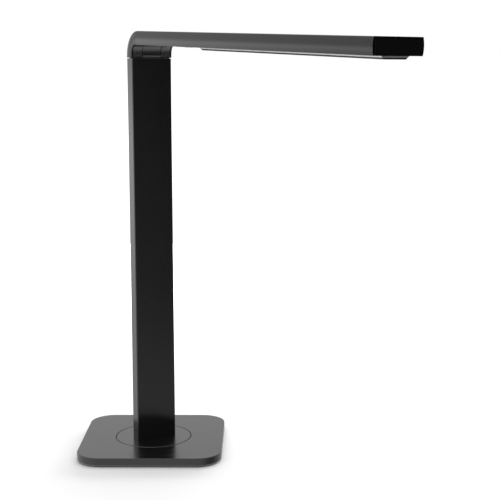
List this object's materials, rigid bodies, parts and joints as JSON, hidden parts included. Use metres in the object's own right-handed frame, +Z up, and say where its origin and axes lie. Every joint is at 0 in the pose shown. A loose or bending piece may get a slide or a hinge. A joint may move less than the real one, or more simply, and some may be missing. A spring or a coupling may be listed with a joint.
{
  "type": "document camera",
  "caption": "Folding document camera and light: a square weighted base, a turning flat column and a friction-hinged arm with a lens and a light bar below it.",
  "frame": {"origin": "centre of the base's underside, below the swivel axis, on the surface it stands on", "axes": "+Z up, -Y towards the user in front, +X to the user's right; at rest the arm is turned 30.4 degrees to the right of straight ahead"},
  "size_m": [0.3099, 0.454, 0.4405],
  "materials": {
    "rubber": "matte",
    "plate_steel": "matte",
    "bright_steel": "satin",
    "weight_steel": "satin",
    "base_coating": "satin",
    "nylon": "satin",
    "connector_steel": "satin",
    "circuit_board": "satin",
    "lead_sheath": "matte",
    "cast_block": "matte",
    "arm_coating": "satin",
    "column_coating": "satin",
    "flex_film": "satin",
    "knuckle_coating": "satin",
    "washer_black": "satin",
    "underside_plastic": "satin",
    "black_screw": "satin",
    "end_cap_plastic": "satin",
    "plain_aluminium": "satin",
    "white_board": "satin",
    "led_phosphor": "gloss",
    "diffuser_plastic": "satin",
    "trim_plastic": "gloss",
    "end_plastic": "satin",
    "sensor_black": "gloss",
    "lens_plastic": "matte",
    "lens_glass": "clear",
    "window_glass": "clear",
    "pad_grey": "satin",
    "button_grey": "satin"
  },
  "bodies": {
    "base": {"anti_slip_pad": "rubber", "base_plate": "plate_steel", "base_screws": "bright_steel", "base_weight": "weight_steel", "base_cover": "base_coating", "swivel_bush": "nylon", "slide_washer": "nylon", "usb_socket": "connector_steel", "power_board": "circuit_board", "base_lead": "lead_sheath"},
    "column": {"turntable": "base_coating", "swivel_shaft": "bright_steel", "friction_washer": "bright_steel", "swivel_nut": "bright_steel", "foot_block": "cast_block", "foot_screws": "bright_steel", "column_tube": "column_coating", "column_flex": "flex_film", "hinge_tongue": "knuckle_coating"},
    "arm": {"hinge_pin": "bright_steel", "hinge_washers": "washer_black", "hinge_nut": "bright_steel", "hinge_knuckles": "knuckle_coating", "knuckle_screws": "bright_steel", "arm_shell": "arm_coating", "arm_underside": "underside_plastic", "underside_screws": "black_screw", "arm_end_cap": "end_cap_plastic", "heat_spreader": "plain_aluminium", "led_board": "white_board", "leds": "led_phosphor", "light_diffuser": "diffuser_plastic", "light_trim": "trim_plastic", "light_end": "end_plastic", "camera_board": "circuit_board", "image_sensor": "sensor_black", "lens_holder": "lens_plastic", "lens_barrel": "lens_plastic", "lens_element": "lens_glass", "lens_window": "window_glass", "arm_flex": "flex_film", "control_board": "circuit_board", "tact_switch": "connector_steel", "control_pad": "pad_grey"},
    "button": {"lamp_button": "button_grey"}
  },
  "joints": [
    {"name": "base_swivel", "type": "hinge", "parent": "base", "child": "column", "pos_m": [0, 0, 0], "axis": [0, 0, 1], "range_deg": [-120.4, 59.6]},
    {"name": "arm_fold", "type": "hinge", "parent": "column", "child": "arm", "pos_m": [0.00263, -0.00449, 0.4196], "axis": [0.8625, 0.506, 0], "range_deg": [-2, 70]},
    {"name": "lamp_button_press", "type": "slide", "parent": "arm", "child": "button", "axis": [0.0207, -0.0354, 0.9992], "range_m": [0, 0.0004], "stiffness_N_per_m": 3000, "springref_m": -0.0002}
  ]
}
